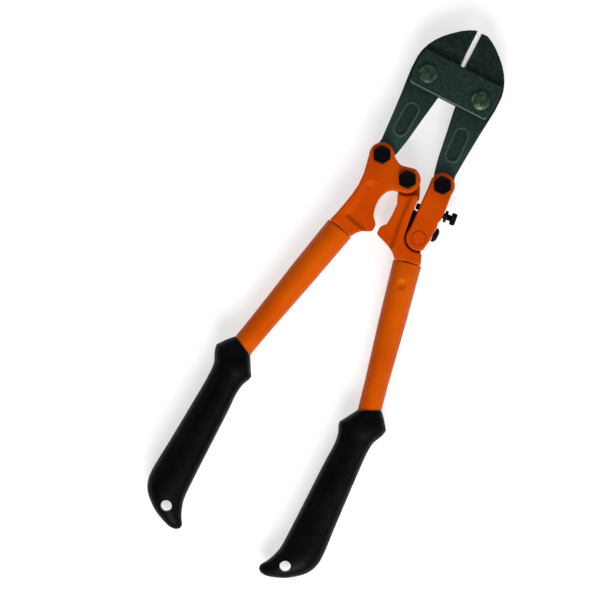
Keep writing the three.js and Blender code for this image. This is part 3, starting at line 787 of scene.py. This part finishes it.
def hex_nut(node, material):
    low, high = (height(c.z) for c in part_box(node))
    flats = flats_of(node)
    corners = hexagon(flats, corner_angle(node))
    centre = middle(node)
    bore = min((v.co.xy - centre.xy).length for v in frame["nodes"][node].data.vertices) / MM
    inner = flats * NUT_TOP_SHARE

    def top(angle):
        return high - (corners(angle) - inner) * HEX_CHAMFER_SLOPE

    def bottom(angle):
        return low + (corners(angle) - inner) * HEX_CHAMFER_SLOPE

    bm = bmesh.new()
    turned_ring(bm, [
        (bore, low + BORE_CHAMFER), (bore + BORE_CHAMFER, low), (inner, low), (corners, bottom),
        (corners, top), (inner, high), (bore + BORE_CHAMFER, high), (bore, high - BORE_CHAMFER),
    ], upright(node))
    piece = finished(bm, f"{node}_steel", [material], BOLT_SHARP)
    return stands_for(rounded(piece, *NUT_EDGE), node)


# ---------- screws of the adjusting link ----------
SCREW_TILT = math.radians(7)
THREAD_PITCH = 0.8
THREAD_DEPTH = 0.25
THREAD_STEPS = 6                                   # for each turn
OUTER_FACE = 0.02                                  # points this near to the outermost lie on the outer face
SCREW_END_R = 0.5
CLAMP_SHARP = math.radians(38)

# A hexagon socket: the lead-in round it, as a share of its width across flats and a depth, and the
# hollow cone below it.
SOCKET_LEAD_SHARE, SOCKET_LEAD = 0.62, 0.35
SOCKET_CONE = 0.5


def screw_frame(node, tilt):
    """A frame at the outer face of a screw or nut, whose Z axis points out of the link's right side,
    and the length of the part in millimetres."""
    out = Vector((math.cos(tilt), math.sin(tilt), 0))
    points = [v.co for v in frame["nodes"][node].data.vertices]
    reach = max(p.dot(out) for p in points)
    outer = [p for p in points if p.dot(out) > reach - OUTER_FACE * MM]
    face = sum(outer, Vector()) / len(outer)
    turn = out.to_track_quat("Z", "Y").to_matrix().to_4x4()
    length = (reach - min(p.dot(out) for p in points)) / MM
    return Matrix.Translation(face) @ turn, length


def socket(depth, across):
    """Profile points of a hexagon socket in a head whose outer face is at height 0."""
    hexagonal = hexagon(across, 0.0)
    return [
        (across * SOCKET_LEAD_SHARE, 0), (hexagonal, -SOCKET_LEAD), (hexagonal, -depth),
        (SCREW_END_R, -depth - SOCKET_CONE),
    ]


def threaded(r, top, bottom):
    """Profile points down a threaded shank; the ridge climbs with the angle."""
    points = []
    steps = round((top - bottom) / THREAD_PITCH * THREAD_STEPS)
    for i in range(steps + 1):
        z = top + (bottom - top) * i / steps

        def radius(angle, z=z):
            turn = (z / THREAD_PITCH - angle / (2 * math.pi)) % 1
            return r - THREAD_DEPTH * abs(2 * turn - 1)

        points.append((radius, z))
    return points


def adjusting_screw(material):
    node = "adjusting_screw"
    matrix, length = screw_frame(node, SCREW_TILT)
    head_r, head_h, shank, neck = 4.8, 4.2, 2.5, 2.3
    knurls, knurl_depth = 32, 0.16
    # Bevels of the point, of the head's underside and of its outer face: across, and along the axis.
    point, under, face = (0.8, 0.7), (0.5, 0.4), (0.8, 0.8)
    thread_gap = 0.4
    socket_depth, socket_across = 2.3, 4.2
    sides = 4 * knurls

    def knurl(angle):
        return head_r - knurl_depth + knurl_depth * math.cos(knurls * angle)

    bm = bmesh.new()
    turned(bm, [
        (SCREW_END_R, -length), (shank - point[0], -length),
        *reversed(threaded(shank, -head_h - thread_gap, point[1] - length)),
        (neck, -head_h), (head_r - under[0], -head_h), (knurl, under[1] - head_h), (knurl, -face[1]),
        (head_r - face[0], 0), *socket(socket_depth, socket_across),
    ], matrix, sides)
    return stands_for(finished(bm, f"{node}_steel", [material]), node)


def lock_nut(material):
    node = "adjusting_lock_nut"
    matrix, length = screw_frame(node, SCREW_TILT)
    flats, bore = 9.2, 2.8
    outer_chamfer, inner_chamfer = 0.4, 0.3
    inner = flats * NUT_TOP_SHARE
    corners = hexagon(flats, math.radians(30))

    def top(angle):
        return -(corners(angle) - inner) * HEX_CHAMFER_SLOPE

    bm = bmesh.new()
    turned_ring(bm, [
        (bore, -outer_chamfer), (bore + outer_chamfer, 0), (inner, 0), (corners, top), (corners, -length),
        (bore + inner_chamfer, -length), (bore, inner_chamfer - length),
    ], matrix)
    piece = finished(bm, f"{node}_steel", [material], BOLT_SHARP)
    return stands_for(rounded(piece, *LOCK_NUT_EDGE), node)


def clamp_screw(material):
    node = "link_clamp_screw"
    matrix, length = screw_frame(node, 0.0)
    head_r, head_h, shank = 5.7, 3.7, 2.0
    point, under = 0.5, (0.2, 0.3)
    edge_h, thread_gap = 1.2, 0.3
    socket_depth, socket_across = 1.9, 3.6
    crown_power, crown_turns = 0.8, (0.25, 0.5, 0.75, 0.95)
    rise = head_h - edge_h
    crown = [(head_r * math.cos(a) ** crown_power, rise * (math.sin(a) - 1)) for a in crown_turns]
    bm = bmesh.new()
    turned(bm, [
        (SCREW_END_R, -length), (shank - point, -length),
        *reversed(threaded(shank, -head_h - thread_gap, point - length)),
        (shank, -head_h), (head_r - under[0], -head_h), (head_r, under[1] - head_h),
        (head_r, edge_h - head_h), *crown, *socket(socket_depth, socket_across),
    ], matrix)
    piece = finished(bm, f"{node}_steel", [material], CLAMP_SHARP)
    return stands_for(piece, node)


# ---------- tubes ----------
TUBE_SIDES = 112
TUBE_SHARP = math.radians(40)
TUBE_WALL = 2.0
SEAM_SINK = 0.35                                   # how far the tube's top edge is turned in
# A tube's axis in plan: it leans outward from the seam, bends, and runs straight to its end.
SEAM = Vector((29.3, -57))
LEAN = math.radians(12.6)
BEND_Y = -173.0
BEND_HALF = 6                                      # the bend starts and ends this far from it
TUBE_END = Vector((57.6, -290))
# Places along the tube, and its diameter at each.
TUBE_DIAMETERS = (
    (SEAM.y, 22.4), (-100, 21.2), (-150, 18.4), (BEND_Y, 18.0), (-185, 17.6), (TUBE_END.y, 17.6),
)
DIMPLE = (33.1, -74.0)
DIMPLE_R = 5.6
DIMPLE_DEPTH = 1.9
# Sections along a tube: close together near the seam and the dimple, and fewer inside.
FINE_STEP, FINE_COUNT = 0.5, 59
COARSE_STEP = 2.4
LAST_STEP = 1
INSIDE_EVERY = 6


def tube_point(y):
    """The tube's axis, its lean and its diameter at a given y."""
    bend = Vector((SEAM.x + (SEAM.y - BEND_Y) * math.tan(LEAN), BEND_Y))
    tail = math.atan2(TUBE_END.x - bend.x, bend.y - TUBE_END.y)
    share = min(max((bend.y + BEND_HALF - y) / (2 * BEND_HALF), 0), 1)
    share = share * share * (3 - 2 * share)
    lean = LEAN + (tail - LEAN) * share
    x = SEAM.x + (SEAM.y - y) * math.tan(LEAN) if y > bend.y else bend.x + (bend.y - y) * math.tan(tail)
    for (y0, d0), (y1, d1) in zip(TUBE_DIAMETERS, TUBE_DIAMETERS[1:]):
        if y >= y1:
            return x, lean, d0 + (d1 - d0) * (y0 - y) / (y0 - y1)
    return x, lean, TUBE_DIAMETERS[-1][1]


def tube_loop(side, y, shrink, sides=TUBE_SIDES):
    """A section of a tube's surface, drawn in by some millimetres."""
    x, lean, diameter = tube_point(y)
    r = diameter / 2 - shrink
    loop = []
    for i in range(sides):
        angle = 2 * math.pi * i / sides
        across = r * math.cos(angle)
        z = r * math.sin(angle)
        point = Vector((x + across * math.cos(lean), y + across * math.sin(lean), z))
        off = math.hypot(point.x - DIMPLE[0], point.y - DIMPLE[1])
        if point.z * side > 0 and off < DIMPLE_R and shrink < TUBE_WALL:
            depth = DIMPLE_DEPTH * (1 + math.cos(math.pi * off / DIMPLE_R)) / 2
            point.z -= side * depth
        loop.append(place(side * point.x, point.y, point.z))
    return loop


def tube(node, material):
    """A hollow tube with a dimple on one face."""
    side = SIDES[node.split("_")[0]]
    start, end = SEAM.y, TUBE_END.y
    fine = [start - FINE_STEP * i for i in range(1, FINE_COUNT + 1)]
    coarse_count = math.ceil((fine[-1] - end) / COARSE_STEP)
    coarse = [fine[-1] - COARSE_STEP * i for i in range(1, coarse_count)]
    stations = fine + [y for y in coarse if y > end + LAST_STEP]
    loops = [tube_loop(side, start, SEAM_SINK)]
    loops += [tube_loop(side, y, 0) for y in (*stations, end)]
    loops += [tube_loop(side, y, TUBE_WALL) for y in (end, *reversed(stations[::INSIDE_EVERY]), start)]
    bm = bmesh.new()
    closed_skin(bm, loops)
    piece = finished(bm, f"{node}_steel", [material], TUBE_SHARP)
    return stands_for(piece, node)


# ---------- grips ----------
# Sections of a grip: the two ends of each section in plan, and its half depth.
GRIP_COLLAR = [
    ((46.2, -176.2), (62.9, -167.8), 9.75),
    ((45.6, -177.4), (64.2, -168.6), 10.4),
    ((42.6, -182.5), (68.8, -173.6), 12.4),
    ((38.2, -190), (73.6, -180), 14.6),
]
GRIP_HAND = [
    GRIP_COLLAR[-1],
    ((38.9, -193.2), (72.4, -185.6), 14.5),
    ((41.3, -199), (68.9, -194), 13.6),
    ((42.5, -208), (68.4, -206), 13.6),
    ((42.1, -225), (69.5, -225), 14.4),
    ((42.2, -262), (72, -262), 14.6),
    ((42.1, -287), (74, -287), 14.6),
    ((41.7, -297), (73, -298), 14.2),
    ((40.4, -303), (69.4, -305.4), 13.2),
    ((38.6, -308), (63.4, -311.5), 11.8),
    ((36.6, -312), (56.4, -316.5), 10.2),
    ((34.6, -315), (48.6, -320), 8.2),
    ((33.8, -317.4), (42, -322), 5.6),
    ((34.4, -319.8), (37.4, -321.8), 2.6),
]
GRIP_SIDES = 96
GRIP_SHARP = math.radians(40)
COLLAR_STEPS, HAND_STEPS = 4, 6
GRIP_POWER = 2.3                                   # a section is an oval a little squarer than an ellipse
GRIP_BORE_Y = (-176.0, -182.0, -230.0, -289.0)
BORE_CLEARANCE = 0.3                               # round the tube


def between(a, b, c, d, t):
    """A number on the smooth curve through four, at a share t of the way from b to c."""
    slope = c - a
    bend = 2 * a - 5 * b + 4 * c - d
    return 0.5 * (2 * b + slope * t + bend * t * t + (3 * b - a - 3 * c + d) * t ** 3)


def spline(rings, steps):
    """Sections on a smooth curve through the given ones."""
    flat = [(*a, *b, depth) for a, b, depth in rings]
    out = []
    for i in range(len(flat) - 1):
        p0, p1, p2, p3 = flat[max(i - 1, 0)], flat[i], flat[i + 1], flat[min(i + 2, len(flat) - 1)]
        for k in range(steps):
            t = k / steps
            out.append([between(*numbers, t) for numbers in zip(p0, p1, p2, p3)])
    out.append(list(flat[-1]))
    return out


def grip_loop(side, section):
    ax, ay, bx, by, depth = section
    loop = []
    for i in range(GRIP_SIDES):
        angle = 2 * math.pi * i / GRIP_SIDES
        c = math.copysign(abs(math.cos(angle)) ** (2 / GRIP_POWER), math.cos(angle))
        s = math.copysign(abs(math.sin(angle)) ** (2 / GRIP_POWER), math.sin(angle))
        x = (ax + bx) / 2 + c * (bx - ax) / 2
        y = (ay + by) / 2 + c * (by - ay) / 2
        loop.append(place(side * x, y, s * depth))
    return loop


def grip(node, material):
    """A grip with its bore for the tube and its hang hole."""
    side = SIDES[node.split("_")[0]]
    sections = spline(GRIP_COLLAR, COLLAR_STEPS)[:-1] + spline(GRIP_HAND, HAND_STEPS)
    loops = [grip_loop(side, section) for section in sections]
    bore = [tube_loop(side, y, -BORE_CLEARANCE, GRIP_SIDES) for y in reversed(GRIP_BORE_Y)]
    bm = bmesh.new()
    skin(bm, [*bore, *loops])
    piece = finished(bm, f"{node}_sleeve", [material], GRIP_SHARP)
    drill_hang_hole(piece, side)
    return stands_for(piece, node)


HANG_HOLE = (51.5, -308.5)
HANG_HOLE_R = 4.4
DRILL_REACH = 20
DRILL_SIDES = 48


def drill_hang_hole(piece, side):
    """The round hole near the hooked end, its rim rounded."""
    bm = bmesh.new()
    spot = place(side * HANG_HOLE[0], HANG_HOLE[1])
    drill = [(HANG_HOLE_R, -DRILL_REACH), (HANG_HOLE_R, DRILL_REACH)]
    turned(bm, drill, Matrix.Translation(spot), DRILL_SIDES)
    cutter = finished(bm, f"{piece.name}_drill", [])
    cut = piece.modifiers.new("hang_hole", "BOOLEAN")
    cut.operation = "DIFFERENCE"
    cut.solver = "EXACT"
    cut.object = cutter
    applied(piece)
    bpy.data.objects.remove(cutter)
    rounded(piece, *HANG_HOLE_EDGE)


# ---------- floor ----------
FLOOR_SIZE = 3.0                                   # metres
FLOOR_CELLS = 8
FLOOR_GAP = 0.15                                   # below the frame's zero


def make_floor(material):
    bm = bmesh.new()
    under = Matrix.Translation((0, 0, -FLOOR_GAP * MM))
    bmesh.ops.create_grid(bm, x_segments=FLOOR_CELLS, y_segments=FLOOR_CELLS, size=FLOOR_SIZE, matrix=under)
    floor = finished(bm, "floor", [material])


# ---------- the whole ----------
make_camera()
make_light()

# Where along Y the coated steel turns darker, in metres: painted shade where the light falls off towards
# the tips.
JAW_SHADE_SPAN = (0.1, 0.19)
STRAP_SHADE_SPAN = (0.16, 0.2)

enamel = orange_enamel("forging_enamel", (0.5, 0.056, 0.0006), (0.44, 0.043, 0.0005))
tube_enamel = orange_enamel("tube_enamel", (0.5, 0.071, 0.0005), (0.44, 0.053, 0.0004))
jaw_coating = oxide_steel("jaw_coating", (0.0032, 0.0082, 0.007), (0.0185, 0.039, 0.035), *JAW_SHADE_SPAN, 5)
strap_coating = oxide_steel(
    "strap_coating", (0.0062, 0.0145, 0.0115), (0.008, 0.018, 0.0145), *STRAP_SHADE_SPAN, 2.4, 0.55,
)
# A darker coat for the jaw panels: painted shade in the recesses.
shaded_panel_coat = oxide_steel("shaded_panel_coat", (0.004, 0.0085, 0.0075), (0.011, 0.024, 0.021), *JAW_SHADE_SPAN, 3)
# A lighter coat for the beads round the panels: painted highlight.
rim_highlight = oxide_steel("rim_highlight", (0.016, 0.03, 0.026), (0.034, 0.062, 0.055), *JAW_SHADE_SPAN, 3)
# Bright steel for the straps' lower chamfers: painted highlight.
chamfer_highlight = ground_steel("chamfer_highlight", (0.09, 0.12, 0.1), 0.2, 0.45)
# Near-white ground steel for the cutting strips: a painted reflection.
ground = ground_steel("ground_steel", (0.95, 0.96, 0.95), 0.0, 0.5)
fastener = black_oxide()
# The right dome gets more of the painted highlight than the left.
domes = {"left": dome_steel("left_dome_steel", 0.15), "right": dome_steel("right_dome_steel", 0.6)}
plastic = grip_plastic()

for name in SIDES:
    soft_forging(f"{name}_handle_head", enamel, fastener)
    jaw(f"{name}_jaw", jaw_coating, ground, shaded_panel_coat, rim_highlight)
    dome_bolt(f"{name}_strap_bolt", domes[name])
    hex_nut(f"{name}_strap_nut", fastener)
    hex_bolt(f"{name}_jaw_bolt", fastener)
    hex_nut(f"{name}_jaw_nut", fastener)
    tube(f"{name}_tube", tube_enamel)
    grip(f"{name}_grip", plastic)
for name in ("front_strap", "back_strap"):
    strap(name, strap_coating, chamfer_highlight)
hex_bolt("centre_bolt", fastener)
hex_nut("centre_nut", fastener)
forged("adjusting_link", enamel, 0.45)
forged("link_pin", enamel, 0.9)
adjusting_screw(fastener)
lock_nut(fastener)
clamp_screw(fastener)
make_floor(floor_paper())
